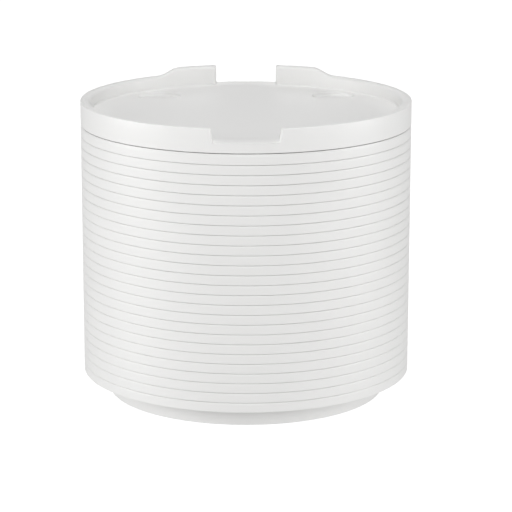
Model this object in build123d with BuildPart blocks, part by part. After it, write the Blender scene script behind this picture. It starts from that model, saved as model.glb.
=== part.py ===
from build123d import *
from math import ceil, cos, radians, sin
import os

# Mesh wifi node: a round ribbed housing on a narrower foot, under a crowned cover whose flat floor
# is a tray that a second unit docks into. The ports and buttons sit in a bay at the back.
# Millimetres. +Z is up, +Y points to the ports, and the origin is the centre of the foot's underside.

# ---------------------------------------------------------------- driving sizes
# Housing
body_radius = 51.15       # ribbed wall, outside
sleeve_height = 78.05     # ribbed wall, from its bottom edge to the seam
foot_height = 7.05        # from the table to the ribbed wall
wall = 2.4                # ribbed wall
rib_pitch = 3.0           # groove to groove
first_rib = 3.4           # plain band between the seam and the top groove
least_rib = 1.5           # shortest band allowed at the bottom edge
groove_width = 0.9
groove_depth = 0.45
seam_chamfer = 0.6        # ribbed wall's top edge
seam_break = 0.15         # cover's bottom edge
edge_break = 0.4
fit_gap = 0.15            # between parts that slot together
edge_gap = 0.2            # between parts that only pass each other

# Crowned cover
crown_wall = 3.1
rim_height = 7.1          # rim above the seam, at its outer edge
rim_bevel = 0.9           # inner top edge of the rim and the tabs
tab_rise = 2.2            # the two tabs above the rim
floor_height = 3.15       # tray floor above the seam
floor_thickness = 2.2
notch_half = 10.1         # front notch
gap_half = 9.8            # rear gap between the tabs
tab_level_end = 23.2      # where a tab's level top ends
tab_foot_end = 27.4       # where its slope meets the rim
tab_round = 3.0
end_round = 1.2           # upright edges of the wall ends
dock_inset = 8.55         # dock recess centres, in from the tray wall
dock_radius = 6.5
dock_depth = 0.5
lip_height = 1.6          # locating lip, below the seam
lip_thickness = 1.8
hook_width = 8.0
hook_thickness = 1.2
hook_length = 8.4
hook_play = 0.45          # between a hook and the snap ledge
barb_height = 1.4
ledge_depth = 0.8
ledge_height = 1.2
ledge_drop = 4.6          # snap ledge's top, below the seam
stiffener_height = 3.0
stiffener_thickness = 1.4

# Bottom cover and foot
foot_radius = 43.2
foot_break = 0.2          # foot's bottom edge
foot_wall = 2.2
foot_floor = 2.4
flange_thickness = 2.4
pad_inner = 31.5
pad_outer = 39.5
pad_thickness = 1.6
pad_proud = 0.15
pad_chamfer = 0.1
label_length = 36.0
label_width = 22.0
label_thickness = 0.2
floor_vents = 20
floor_vent_length = 7.0
flange_vents = 40
flange_vent_length = 3.6
vent_width = 1.8
vent_keep_clear = 7.5     # degrees each side of a screw column or board post

# Screw columns and screws
column_radius = 3.6
column_inset = 3.1        # column centres, in from the housing's inner face
column_angles = (35, 145, 215, 325)
column_height = 33.0      # above the bottom cover's flange
pilot_depth = 12.0
pilot_radius = 1.25
screw_radius = 1.2
screw_slack = 0.3         # radial slack of a screw in a through hole
head_radius = 2.4
head_height = 1.2
drive_radius = 1.1
drive_depth = 0.6

# Main board
board_gap = 2.25          # edge of the board to the housing
board_thickness = 1.6
board_angles = (10, 170, 240, 300)
post_inset = 3.5          # post centres, in from the board's edge
post_radius = 3.0
port_margin = 3.0         # board to window edge, and jack to window edge

# Port bay
bay_half = 28.0           # half the window's width
bay_depth = 11.75         # port face, in from the housing's inner face
bay_wall = 1.5
bay_plate = 1.6
bay_corner = 2.5
bay_inset = 0.5           # bay wall's outer edge, in from the ribbed face
bay_flange = 1.2          # plate past the window, each side
bay_rise = 2.6            # plate past the window, at the top
panel_gap = 0.2           # round a jack in its cut-out
jack_setback = 0.2        # jack faces behind the port face

# Ethernet jacks; u runs left to right as seen from behind
lan_places = (-7.3, 10.3)
jack_width = 16.0
jack_height = 13.4
jack_length = 21.3
shield_thickness = 0.3
plug_width = 11.9
plug_height = 7.2
plug_depth = 13.0
plug_sill = 4.3           # plug opening above the board
latch_width = 6.4
latch_height = 1.6
key_width = 3.6
key_height = 1.5
contact_count = 8
contact_pitch = 1.02
contact_width = 0.4
contact_sag = 0.3
contact_length = 9.0

# Power jack, a USB-C receptacle raised on a block
power_place = -21.5
power_axis = 2.9          # above the board
power_width = 8.95
power_height = 3.25
power_length = 7.6
mouth_width = 8.35
mouth_height = 2.6
mouth_depth = 6.2
tongue_width = 6.7
tongue_thickness = 0.7
tongue_length = 4.6
block_width = 7.0

# Buttons, their switches, and the status light
button_place = 22.6
pairing_height = 12.5     # axes above the board
light_height = 6.9
reset_height = 2.8
pairing_radius = 3.0
pairing_reach = 0.8       # proud of the port face
reset_radius = 1.3
reset_reach = -0.6        # behind the port face
button_slack = 0.2
collar_step = 0.9         # collar past the button's radius
collar_thickness = 1.0
stem_radius = 1.0
stem_length = 1.8
switch_size = 5.2
switch_depth = 3.4
plunger_radius = 1.75
plunger_length = 1.6
plunger_reach = 1.0       # out of the switch at rest
plunger_slack = 0.08
plunger_hole = 1.5
side_board_width = 7.6
side_board_rise = 1.4     # above the top switch
side_board_thickness = 1.2
light_radius = 1.15
light_slack = 0.1
light_collar = 1.7
led_size = 2.0
led_depth = 0.9
led_air = 0.4

# Cooling
sink_length = 60.0
sink_width = 36.0
sink_back = 4.0           # rear edge of the heat sink
sink_base = 3.0
sink_lift = 2.3           # base above the board
fin_count = 13
fin_height = 16.0
fin_thickness = 1.4
sink_screw_inset = 3.2
standoff_radius = 2.8

# Chips and parts on the board
processor_size = 14.0
processor_height = 1.3
memory_size = (10.0, 8.0)
memory_height = 1.0
can_size = (20.0, 16.0)
can_height = 1.8
can_sheet = 0.25
coil_size = 7.0
coil_height = 4.0
cap_radius = 3.2
cap_height = 8.0
magnetics_size = (14.5, 8.0)
magnetics_height = 5.0

# Antenna drum, antennas and their leads
drum_radius = 42.0
drum_wall = 1.6
drum_drop = 9.0           # drum's top, below the seam
drum_ear = 2.0
drum_window_width = 13.0
drum_window_margin = 7.0
drum_window_angles = (15, 45, 75, 105, 135, 165)
antenna_angles = (345, 195, 255, 285)
antenna_width = 16.0
antenna_height = 21.0
antenna_thickness = 0.8
antenna_seat = 0.6        # flat seat, out of the drum
antenna_margin = 0.6
lead_radius = 0.6
lead_hole = 0.9
lead_place = 36.5         # upright run, from the axis
lead_bend = 3.5
lead_drop = 3.0           # lead's hole, below the middle of the antenna
socket_size = 1.5
socket_height = 1.2

# ---------------------------------------------------------------- worked-out places
seam_z = foot_height + sleeve_height
inner_radius = body_radius - wall
crown_radius = body_radius
tray_radius = crown_radius - crown_wall
rim_z = seam_z + rim_height
tab_z = rim_z + tab_rise
floor_z = seam_z + floor_height
slab_z = floor_z - floor_thickness
lip_radius = inner_radius - fit_gap
flange_z = foot_height + flange_thickness

groove_count = int((sleeve_height - first_rib - least_rib) / rib_pitch) + 1
grooves = [seam_z - first_rib - rib_pitch * k for k in range(groove_count)]

button_room = pairing_height + pairing_radius + button_slack + bay_wall + fit_gap
window_ribs = ceil((port_margin + max(jack_height + port_margin, button_room)) / rib_pitch)
window_low = grooves[-1] + rib_pitch
window_high = window_low + rib_pitch * window_ribs
window_mid = (window_low + window_high) / 2

board_top = window_low + port_margin
board_z = board_top - board_thickness
board_radius = inner_radius - board_gap
port_face = inner_radius - bay_depth
plate_back = port_face - bay_plate
jack_face = port_face - jack_setback
board_rear = plate_back - panel_gap

column_polar = inner_radius - column_inset
post_polar = board_radius - post_inset
column_top = flange_z + column_height
drum_top = seam_z - drum_drop
drum_mid = (column_top + drum_ear + drum_top) / 2
sink_z = board_top + sink_lift
sink_top = sink_z + sink_base
sink_mid = sink_back - sink_width / 2


def polar(radius, angle):
    """The point on the level circle of this radius at this angle."""
    return (radius * cos(radians(angle)), radius * sin(radians(angle)))


def outward(angle, distance=0.0, height=0.0):
    """An upright plane facing outwards at this angle: its x is level and its y points up."""
    out_x, out_y = polar(1, angle)
    origin = (distance * out_x, distance * out_y, height)
    return Plane(origin=origin, x_dir=(-out_y, out_x, 0), z_dir=(out_x, out_y, 0))


def rear(distance):
    """The upright plane facing the back: its x runs left to right as seen from behind."""
    return outward(90, distance)


columns = [polar(column_polar, angle) for angle in column_angles]
posts = [polar(post_polar, angle) for angle in board_angles]
sink_screws = [
    (x, sink_mid + y)
    for x in (sink_screw_inset - sink_length / 2, sink_length / 2 - sink_screw_inset)
    for y in (sink_screw_inset - sink_width / 2, sink_width / 2 - sink_screw_inset)
]
finished = []


def keep(name, label):
    """Names a finished piece and lists it for writing."""
    name.part.label = label
    finished.append(name.part)


# ---------------------------------------------------------------- crowned cover
# The two raised tabs beside the rear gap: a taller ring, cut to the tabs' outline seen from the back.
slope = (tab_foot_end - tab_level_end) / tab_rise
outline_end = tab_foot_end + slope * rim_bevel
with BuildPart() as tabs:
    with BuildSketch(Plane.XZ):
        with BuildLine():
            Polyline(
                (tray_radius, floor_z), (crown_radius, floor_z), (crown_radius, tab_z),
                (tray_radius + rim_bevel, tab_z), (tray_radius, tab_z - rim_bevel), close=True,
            )
        make_face()
    revolve(axis=Axis.Z)
    with BuildSketch(Plane.XZ) as tab_outline:
        with BuildLine():
            Polyline(
                (gap_half, floor_z), (gap_half, tab_z), (tab_level_end, tab_z),
                (outline_end, rim_z - rim_bevel), (outline_end, floor_z), close=True,
            )
        make_face()
        fillet(tab_outline.vertices().sort_by_distance((tab_level_end, tab_z))[0], radius=tab_round)
        mirror(about=Plane.YZ)
    extrude(amount=-crown_radius - 1, mode=Mode.INTERSECT)

with BuildPart() as top_cover:
    with BuildSketch(Plane.XZ):
        with BuildLine():
            Polyline(
                (0, slab_z), (lip_radius - lip_thickness, slab_z),
                (lip_radius - lip_thickness, seam_z - lip_height), (lip_radius, seam_z - lip_height),
                (lip_radius, seam_z), (crown_radius - seam_break, seam_z),
                (crown_radius, seam_z + seam_break), (crown_radius, rim_z),
                (tray_radius + rim_bevel, rim_z), (tray_radius, rim_z - rim_bevel),
                (tray_radius, floor_z), (0, floor_z), close=True,
            )
        make_face()
    revolve(axis=Axis.Z)
    add(tabs.part)
    # The front notch and the rear gap go down to the tray floor.
    with BuildSketch(Plane.XY.offset(floor_z)):
        with Locations((0, -crown_radius)):
            Rectangle(2 * notch_half, 4 * crown_wall)
        with Locations((0, crown_radius)):
            Rectangle(2 * gap_half, 4 * crown_wall)
    extrude(amount=rim_height + tab_rise, mode=Mode.SUBTRACT)
    # The upright edges of the wall ends are rounded.
    ends = top_cover.edges().filter_by(Axis.Z).filter_by(lambda e: abs(e.center().X) < notch_half + 0.5)
    ends = ends.filter_by(lambda e: e.center().Z > floor_z)
    fillet(ends, radius=min(end_round, 0.45 * crown_wall))
    # Four shallow round recesses take the feet of the docked unit.
    with BuildSketch(Plane.XY.offset(floor_z)):
        with PolarLocations(tray_radius - dock_inset, 4, start_angle=45):
            Circle(dock_radius)
    extrude(amount=-dock_depth, mode=Mode.SUBTRACT)
    # Six snap hooks hang inside the lip, each with a barb that catches under the housing's ledge.
    for angle in range(0, 360, 60):
        hook_outer = inner_radius - ledge_depth - hook_play
        barb_top = seam_z - ledge_drop - ledge_height - fit_gap
        with BuildSketch(outward(angle, hook_outer)):
            with Locations((0, slab_z - hook_length / 2)):
                Rectangle(hook_width, hook_length)
        extrude(amount=-hook_thickness)
        with BuildSketch(outward(angle, hook_outer)):
            with Locations((0, barb_top - barb_height / 2)):
                Rectangle(hook_width, barb_height)
        extrude(amount=lip_radius - edge_gap - hook_outer)
    # Ribs under the tray floor.
    with BuildSketch(Plane.XY.offset(slab_z)):
        with PolarLocations(0, 6, start_angle=30):
            Rectangle(2 * (lip_radius - lip_thickness), stiffener_thickness)
    extrude(amount=-stiffener_height)
keep(top_cover, "top_cover")

# ---------------------------------------------------------------- ribbed housing
with BuildPart() as ribbed_sleeve:
    wall_line = [
        (inner_radius, foot_height), (body_radius - edge_break, foot_height),
        (body_radius, foot_height + edge_break),
    ]
    for groove_z in reversed(grooves):
        wall_line.append((body_radius, groove_z - groove_width / 2))
        wall_line.append((body_radius - groove_depth, groove_z))
        wall_line.append((body_radius, groove_z + groove_width / 2))
    wall_line.append((body_radius, seam_z - seam_chamfer))
    wall_line.append((body_radius - seam_chamfer, seam_z))
    wall_line.append((inner_radius, seam_z))
    with BuildSketch(Plane.XZ):
        with BuildLine():
            Polyline(*wall_line, close=True)
        make_face()
        with Locations((inner_radius - ledge_depth / 2, seam_z - ledge_drop - ledge_height / 2)):
            Rectangle(ledge_depth, ledge_height)
    revolve(axis=Axis.Z)
    # Four screw columns stand against the wall, with a pilot hole at each end.
    with BuildSketch(Plane.XY.offset(flange_z)):
        with Locations(*columns):
            Circle(column_radius)
    extrude(amount=column_height)
    with BuildSketch(Plane.XY.offset(flange_z)):
        with Locations(*columns):
            Circle(pilot_radius)
    extrude(amount=pilot_depth, mode=Mode.SUBTRACT)
    with BuildSketch(Plane.XY.offset(column_top)):
        with Locations(*columns):
            Circle(pilot_radius)
    extrude(amount=-pilot_depth, mode=Mode.SUBTRACT)
    # The window for the port bay starts and ends on a groove.
    with BuildSketch(rear(0)):
        with Locations((0, window_mid)):
            RectangleRounded(2 * bay_half, window_high - window_low, bay_corner)
    extrude(amount=body_radius + 1, mode=Mode.SUBTRACT)
keep(ribbed_sleeve, "ribbed_sleeve")

# ---------------------------------------------------------------- bottom cover and foot
with BuildPart() as bottom_cover:
    with BuildSketch(Plane.XZ):
        with BuildLine():
            Polyline(
                (0, pad_proud), (foot_radius - foot_break, pad_proud), (foot_radius, pad_proud + foot_break),
                (foot_radius, foot_height), (lip_radius, foot_height), (lip_radius, flange_z),
                (foot_radius - foot_wall, flange_z), (foot_radius - foot_wall, pad_proud + foot_floor),
                (0, pad_proud + foot_floor), close=True,
            )
        make_face()
    revolve(axis=Axis.Z)
    with BuildSketch(Plane.XY.offset(pad_proud)):
        Circle(pad_outer + fit_gap)
        Circle(pad_inner - fit_gap, mode=Mode.SUBTRACT)
    extrude(amount=pad_thickness - pad_proud, mode=Mode.SUBTRACT)
    with BuildSketch(Plane.XY.offset(pad_proud)):
        Rectangle(label_length + 2 * fit_gap, label_width + 2 * fit_gap)
    extrude(amount=label_thickness, mode=Mode.SUBTRACT)
    # Posts carry the main board.
    with BuildSketch(Plane.XY.offset(flange_z)):
        with Locations(*posts):
            Circle(post_radius)
    extrude(amount=board_z - flange_z)
    with BuildSketch(Plane.XY.offset(board_z)):
        with Locations(*posts):
            Circle(pilot_radius)
    extrude(amount=foot_height + 1 - board_z, mode=Mode.SUBTRACT)
    # Screw holes under the columns, each sunk for its head.
    with BuildSketch(Plane.XY.offset(foot_height)):
        with Locations(*columns):
            Circle(screw_radius + screw_slack)
    extrude(amount=flange_thickness, mode=Mode.SUBTRACT)
    with BuildSketch(Plane.XY.offset(foot_height)):
        with Locations(*columns):
            Circle(head_radius + screw_slack)
    extrude(amount=head_height, mode=Mode.SUBTRACT)
    # Air slots in the foot's floor, and in the overhang round the foot.
    floor_vent_polar = label_length / 2 + vent_width + floor_vent_length / 2
    with BuildSketch(Plane.XY.offset(pad_proud)):
        with PolarLocations(floor_vent_polar, floor_vents, start_angle=180 / floor_vents):
            SlotOverall(floor_vent_length, vent_width)
    extrude(amount=foot_floor, mode=Mode.SUBTRACT)
    with BuildSketch(Plane.XY.offset(foot_height)):
        for k in range(flange_vents):
            vent_angle = 360 * (k + 0.5) / flange_vents
            if all(abs(vent_angle - a) > vent_keep_clear for a in column_angles + board_angles):
                with Locations(Location((*polar((foot_radius + lip_radius) / 2, vent_angle), 0), vent_angle)):
                    SlotOverall(flange_vent_length, vent_width)
    extrude(amount=flange_thickness, mode=Mode.SUBTRACT)
keep(bottom_cover, "bottom_cover")

with BuildPart() as foot_pad:
    with BuildSketch():
        Circle(pad_outer)
        Circle(pad_inner, mode=Mode.SUBTRACT)
    extrude(amount=pad_thickness)
    pad_edges = foot_pad.faces().sort_by(Axis.Z)[0].edges()
    chamfer(pad_edges, length=pad_chamfer)
keep(foot_pad, "foot_pad")

with BuildPart() as rating_label:
    with BuildSketch(Plane.XY.offset(pad_proud)):
        RectangleRounded(label_length, label_width, 2)
    extrude(amount=label_thickness)
keep(rating_label, "rating_label")


def screw_set(places, seat_z, up, length, label):
    """Like screws at these places: heads on the seat plane, shanks running the other way to up."""
    with BuildPart() as screws:
        with BuildSketch(Plane.XY.offset(seat_z)):
            with Locations(*places):
                Circle(head_radius)
        extrude(amount=up * head_height)
        with BuildSketch(Plane.XY.offset(seat_z)):
            with Locations(*places):
                Circle(screw_radius)
        extrude(amount=-up * length)
        with BuildSketch(Plane.XY.offset(seat_z + up * head_height)):
            with Locations(*places):
                RegularPolygon(drive_radius, 6)
        extrude(amount=-up * drive_depth, mode=Mode.SUBTRACT)
    keep(screws, label)


screw_set(columns, foot_height + head_height, -1, flange_thickness + 8, "case_screws")

# ---------------------------------------------------------------- port bay
lan_hole = (jack_width + 2 * panel_gap, jack_height + panel_gap)
power_hole = (power_width + 2 * panel_gap, power_height + 2 * panel_gap)
with BuildPart() as bay_frame:
    with BuildSketch(rear(plate_back)):
        with Locations((0, window_mid)):
            RectangleRounded(2 * (bay_half - fit_gap), window_high - window_low - 2 * fit_gap, bay_corner)
            RectangleRounded(
                2 * (bay_half - fit_gap - bay_wall), window_high - window_low - 2 * (fit_gap + bay_wall),
                bay_corner - bay_wall / 2, mode=Mode.SUBTRACT,
            )
    extrude(amount=body_radius)
    with BuildSketch(Plane.XY):
        Circle(body_radius - bay_inset)
    extrude(amount=seam_z, mode=Mode.INTERSECT)

with BuildPart() as port_bay:
    plate_top = window_high + bay_rise
    with BuildSketch(rear(plate_back)):
        with Locations((0, (plate_top + flange_z) / 2)):
            Rectangle(2 * (bay_half + bay_flange), plate_top - flange_z)
    extrude(amount=bay_plate)
    with BuildSketch(Plane.XY):
        Circle(inner_radius - fit_gap)
    extrude(amount=seam_z, mode=Mode.INTERSECT)
    add(bay_frame.part)
    # Cut-outs for the jacks, the buttons and the light pipe.
    with BuildSketch(rear(plate_back)):
        for place in lan_places:
            with Locations((place, board_top + (jack_height + panel_gap) / 2)):
                Rectangle(*lan_hole)
        with Locations((power_place, board_top + power_axis)):
            SlotOverall(*power_hole)
        with Locations((button_place, board_top + pairing_height)):
            Circle(pairing_radius + button_slack)
        with Locations((button_place, board_top + reset_height)):
            Circle(reset_radius + button_slack)
        with Locations((button_place, board_top + light_height)):
            Circle(light_radius + light_slack)
    extrude(amount=bay_plate, mode=Mode.SUBTRACT)
keep(port_bay, "port_bay")

# ---------------------------------------------------------------- main board
with BuildPart() as main_board:
    with BuildSketch(Plane.XY.offset(board_z)):
        Circle(board_radius)
        with Locations((0, board_rear + board_radius)):
            Rectangle(2 * board_radius, 2 * board_radius, mode=Mode.SUBTRACT)
        with Locations(*columns):
            Circle(column_radius + 4 * fit_gap, mode=Mode.SUBTRACT)
        with Locations(*posts, *sink_screws):
            Circle(screw_radius + fit_gap, mode=Mode.SUBTRACT)
    extrude(amount=board_thickness)
keep(main_board, "main_board")

screw_set(posts, board_top, 1, board_thickness + 4, "board_screws")

# ---------------------------------------------------------------- ethernet jacks
for index, place in enumerate(lan_places, start=1):
    body_half = jack_width / 2 - shield_thickness
    body_top = jack_height - shield_thickness
    cavity_low = plug_sill - latch_height - key_height
    with BuildPart() as lan_jack:
        with BuildSketch(rear(jack_face)):
            with Locations((place, board_top + body_top / 2)):
                Rectangle(2 * body_half, body_top)
        extrude(amount=shield_thickness - jack_length)
        with BuildSketch(rear(jack_face)):
            with Locations((place, board_top + plug_sill + plug_height / 2)):
                Rectangle(plug_width, plug_height)
            with Locations((place, board_top + plug_sill - latch_height / 2)):
                Rectangle(latch_width, latch_height)
            with Locations((place, board_top + cavity_low + key_height / 2)):
                Rectangle(key_width, key_height)
        extrude(amount=-plug_depth, mode=Mode.SUBTRACT)
    keep(lan_jack, f"lan_jack_{index}")

    with BuildPart() as lan_shield:
        with BuildSketch(rear(jack_face)):
            with Locations((place, board_top + jack_height / 2)):
                Rectangle(jack_width, jack_height)
        extrude(amount=-jack_length)
        with BuildSketch(rear(jack_face)):
            with Locations((place, board_top + body_top / 2)):
                Rectangle(2 * body_half, body_top)
        extrude(amount=shield_thickness - jack_length, mode=Mode.SUBTRACT)
    keep(lan_shield, f"lan_shield_{index}")

    # The contacts are thin springs that leave the ceiling near the mouth and slope down to the back.
    ceiling = board_top + plug_sill + plug_height
    with BuildPart() as lan_contacts:
        for k in range(contact_count):
            u = place + contact_pitch * (k - (contact_count - 1) / 2)
            side = Plane(origin=(-u + contact_width / 2, 0, 0), x_dir=(0, 1, 0), z_dir=(1, 0, 0))
            with BuildSketch(side):
                with BuildLine():
                    Polyline(
                        (jack_face - 2, ceiling), (jack_face - 2, ceiling - contact_width),
                        (jack_face - 2 - contact_length, ceiling - contact_sag - contact_width),
                        (jack_face - 2 - contact_length, ceiling), close=True,
                    )
                make_face()
            extrude(amount=-contact_width)
    keep(lan_contacts, f"lan_contacts_{index}")

# ---------------------------------------------------------------- power jack
power_centre = (power_place, board_top + power_axis)
with BuildPart() as power_jack:
    with BuildSketch(rear(jack_face)):
        with Locations(power_centre):
            SlotOverall(power_width, power_height)
    extrude(amount=-power_length)
    with BuildSketch(rear(jack_face)):
        with Locations(power_centre):
            SlotOverall(mouth_width, mouth_height)
    extrude(amount=-mouth_depth, mode=Mode.SUBTRACT)
    block_height = power_axis - mouth_height / 2 - (power_height - mouth_height) / 4
    with BuildSketch(rear(board_rear)):
        with Locations((power_place, board_top + block_height / 2)):
            Rectangle(block_width, block_height)
    extrude(amount=jack_face - power_length - board_rear)
keep(power_jack, "power_jack")

with BuildPart() as power_tongue:
    with BuildSketch(rear(jack_face - mouth_depth)):
        with Locations(power_centre):
            Rectangle(tongue_width, tongue_thickness)
    extrude(amount=tongue_length)
keep(power_tongue, "power_tongue")

# ---------------------------------------------------------------- buttons and their switches
stem_start = plate_back - collar_thickness
plunger_face = stem_start - stem_length
switch_face = plunger_face - plunger_reach
side_board_face = switch_face - switch_depth
for label, height, radius, reach in (
    ("pairing", pairing_height, pairing_radius, pairing_reach),
    ("reset", reset_height, reset_radius, reset_reach),
):
    centre = (button_place, board_top + height)
    with BuildPart() as button:
        with BuildSketch(rear(plate_back)):
            with Locations(centre):
                Circle(radius)
        extrude(amount=bay_plate + reach)
        fillet(button.faces().sort_by(Axis.Y)[-1].edges(), radius=0.4)
        with BuildSketch(rear(plate_back)):
            with Locations(centre):
                Circle(radius + collar_step)
        extrude(amount=-collar_thickness)
        with BuildSketch(rear(stem_start)):
            with Locations(centre):
                Circle(stem_radius)
        extrude(amount=-stem_length)
    keep(button, f"{label}_button")

    with BuildPart() as plunger:
        with BuildSketch(rear(plunger_face)):
            with Locations(centre):
                Circle(plunger_radius)
        extrude(amount=-plunger_length)
    keep(plunger, f"{label}_plunger")

    with BuildPart() as switch:
        with BuildSketch(rear(switch_face)):
            with Locations(centre):
                Rectangle(switch_size, switch_size)
        extrude(amount=-switch_depth)
        with BuildSketch(rear(switch_face)):
            with Locations(centre):
                Circle(plunger_radius + plunger_slack)
        extrude(amount=-plunger_hole, mode=Mode.SUBTRACT)
    keep(switch, f"{label}_switch")

with BuildPart() as side_board:
    side_height = pairing_height + switch_size / 2 + side_board_rise
    with BuildSketch(rear(side_board_face)):
        with Locations((button_place, board_top + side_height / 2)):
            Rectangle(side_board_width, side_height)
    extrude(amount=-side_board_thickness)
keep(side_board, "side_board")

light_centre = (button_place, board_top + light_height)
with BuildPart() as status_led:
    with BuildSketch(rear(side_board_face)):
        with Locations(light_centre):
            Rectangle(led_size, led_size)
    extrude(amount=led_depth)
keep(status_led, "status_led")

with BuildPart() as light_pipe:
    pipe_start = side_board_face + led_depth + led_air
    with BuildSketch(rear(pipe_start)):
        with Locations(light_centre):
            Circle(light_radius)
    extrude(amount=port_face + light_slack - pipe_start)
    with BuildSketch(rear(plate_back)):
        with Locations(light_centre):
            Circle(light_collar)
    extrude(amount=-collar_thickness)
keep(light_pipe, "light_pipe")

# ---------------------------------------------------------------- chips and parts on the board
can_places = [(side * (sink_length / 2 - can_size[0] / 2 - 3), sink_mid) for side in (-1, 1)]
memory_places = [(0, sink_mid + side * (processor_size / 2 + memory_size[1] / 2 + 1)) for side in (-1, 1)]

with BuildPart() as processor:
    with BuildSketch(Plane.XY.offset(board_top)):
        with Locations((0, sink_mid)):
            Rectangle(processor_size, processor_size)
    extrude(amount=processor_height)
keep(processor, "processor")

with BuildPart() as memory_chips:
    with BuildSketch(Plane.XY.offset(board_top)):
        with Locations(*memory_places):
            Rectangle(*memory_size)
    extrude(amount=memory_height)
keep(memory_chips, "memory_chips")

for side, place in zip(("left", "right"), can_places):
    with BuildPart() as radio_can:
        with BuildSketch(Plane.XY.offset(board_top)):
            with Locations(place):
                Rectangle(*can_size)
        extrude(amount=can_height)
        with BuildSketch(Plane.XY.offset(board_top)):
            with Locations(place):
                Rectangle(can_size[0] - 2 * can_sheet, can_size[1] - 2 * can_sheet)
        extrude(amount=can_height - can_sheet, mode=Mode.SUBTRACT)
    keep(radio_can, f"radio_can_{side}")

# The pads fill the space from each hot part up to the heat sink.
with BuildPart() as thermal_pads:
    with BuildSketch(Plane.XY.offset(board_top + processor_height)):
        with Locations((0, sink_mid)):
            Rectangle(processor_size, processor_size)
    extrude(amount=sink_lift - processor_height)
    with BuildSketch(Plane.XY.offset(board_top + can_height)):
        with Locations(*can_places):
            Rectangle(can_size[0] - 4, can_size[1] - 4)
    extrude(amount=sink_lift - can_height)
keep(thermal_pads, "thermal_pads")

with BuildPart() as heat_sink:
    with BuildSketch(Plane.XY.offset(sink_z)):
        with Locations((0, sink_mid)):
            RectangleRounded(sink_length, sink_width, 2)
    extrude(amount=sink_base)
    fin_pitch = (sink_length - 4 * head_radius - 2 * sink_screw_inset) / (fin_count - 1)
    with BuildSketch(Plane.XY.offset(sink_top)):
        with Locations((0, sink_mid)):
            with GridLocations(fin_pitch, 0, fin_count, 1):
                Rectangle(fin_thickness, sink_width - 4)
    extrude(amount=fin_height)
    with BuildSketch(Plane.XY.offset(board_top)):
        with Locations(*sink_screws):
            Circle(standoff_radius)
    extrude(amount=sink_lift)
    with BuildSketch(Plane.XY.offset(board_top)):
        with Locations(*sink_screws):
            Circle(screw_radius + fit_gap)
    extrude(amount=sink_lift + sink_base, mode=Mode.SUBTRACT)
keep(heat_sink, "heat_sink")

screw_set(sink_screws, sink_top, 1, sink_base + sink_lift + board_thickness, "sink_screws")

with BuildPart() as magnetics:
    magnetics_y = jack_face - jack_length - 1 - magnetics_size[1] / 2
    with BuildSketch(Plane.XY.offset(board_top)):
        with Locations(*[(-place, magnetics_y) for place in lan_places]):
            Rectangle(*magnetics_size)
    extrude(amount=magnetics_height)
keep(magnetics, "magnetics")

cap_y = jack_face - power_length - cap_radius - 1.5
with BuildPart() as capacitors:
    with BuildSketch(Plane.XY.offset(board_top)):
        with Locations((-power_place - 1, cap_y), (-power_place + 2 * cap_radius, cap_y)):
            Circle(cap_radius)
    extrude(amount=cap_height)
    fillet(capacitors.faces().group_by(Axis.Z)[-1].edges(), radius=0.6)
keep(capacitors, "capacitors")

with BuildPart() as power_coil:
    with BuildSketch(Plane.XY.offset(board_top)):
        with Locations((-power_place + 2, cap_y - cap_radius - 1 - coil_size / 2)):
            RectangleRounded(coil_size, coil_size, 1.5)
    extrude(amount=coil_height)
keep(power_coil, "power_coil")

# ---------------------------------------------------------------- antenna drum, antennas and leads
seat_radius = drum_radius + antenna_seat
lead_z = drum_mid - lead_drop
ear_radius = column_inset - fit_gap
ear_start = drum_radius - drum_wall
with BuildPart() as antenna_drum:
    # Each ear runs out from the drum's wall to the far side of its screw.
    with BuildSketch(Plane.XY.offset(column_top)):
        Circle(drum_radius)
        for angle, column in zip(column_angles, columns):
            with Locations(column):
                Circle(ear_radius)
            with Locations(Location((*polar((ear_start + column_polar) / 2, angle), 0), angle)):
                Rectangle(column_polar - ear_start, 2 * ear_radius)
        Circle(ear_start, mode=Mode.SUBTRACT)
    extrude(amount=drum_ear)
    with BuildSketch(Plane.XY.offset(column_top + drum_ear)):
        Circle(drum_radius)
        Circle(ear_start, mode=Mode.SUBTRACT)
    extrude(amount=drum_top - column_top - drum_ear)
    for angle in antenna_angles:
        with BuildSketch(outward(angle, seat_radius, drum_mid)):
            Rectangle(antenna_width + 2 * antenna_margin, antenna_height + 2 * antenna_margin)
        extrude(amount=-antenna_seat - drum_wall - 0.4)
        with BuildSketch(outward(angle, drum_radius / 2, lead_z)):
            Circle(lead_hole)
        extrude(amount=drum_radius, mode=Mode.SUBTRACT)
    for angle in drum_window_angles:
        window_height = drum_top - column_top - 2 * drum_window_margin
        with BuildSketch(outward(angle, drum_radius / 2, drum_mid)):
            RectangleRounded(drum_window_width, window_height, 2)
        extrude(amount=drum_radius, mode=Mode.SUBTRACT)
    with BuildSketch(Plane.XY.offset(column_top)):
        with Locations(*columns):
            Circle(screw_radius + screw_slack)
    extrude(amount=drum_ear, mode=Mode.SUBTRACT)
keep(antenna_drum, "antenna_drum")

screw_set(columns, column_top + drum_ear, 1, drum_ear + 7, "drum_screws")

for index, angle in enumerate(antenna_angles, start=1):
    with BuildPart() as antenna:
        with BuildSketch(outward(angle, seat_radius, drum_mid)):
            Rectangle(antenna_width, antenna_height)
        extrude(amount=antenna_thickness)
    keep(antenna, f"antenna_{index}")

    lead_end = board_top + socket_height
    seat_x, seat_y = polar(seat_radius, angle)
    place_x, place_y = polar(lead_place, angle)
    with BuildPart() as antenna_lead:
        with BuildLine():
            FilletPolyline(
                (place_x, place_y, lead_end), (place_x, place_y, lead_z), (seat_x, seat_y, lead_z),
                radius=lead_bend,
            )
        with BuildSketch(Plane.XY.offset(lead_end)):
            with Locations((place_x, place_y)):
                Circle(lead_radius)
        sweep()
    keep(antenna_lead, f"antenna_lead_{index}")

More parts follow.
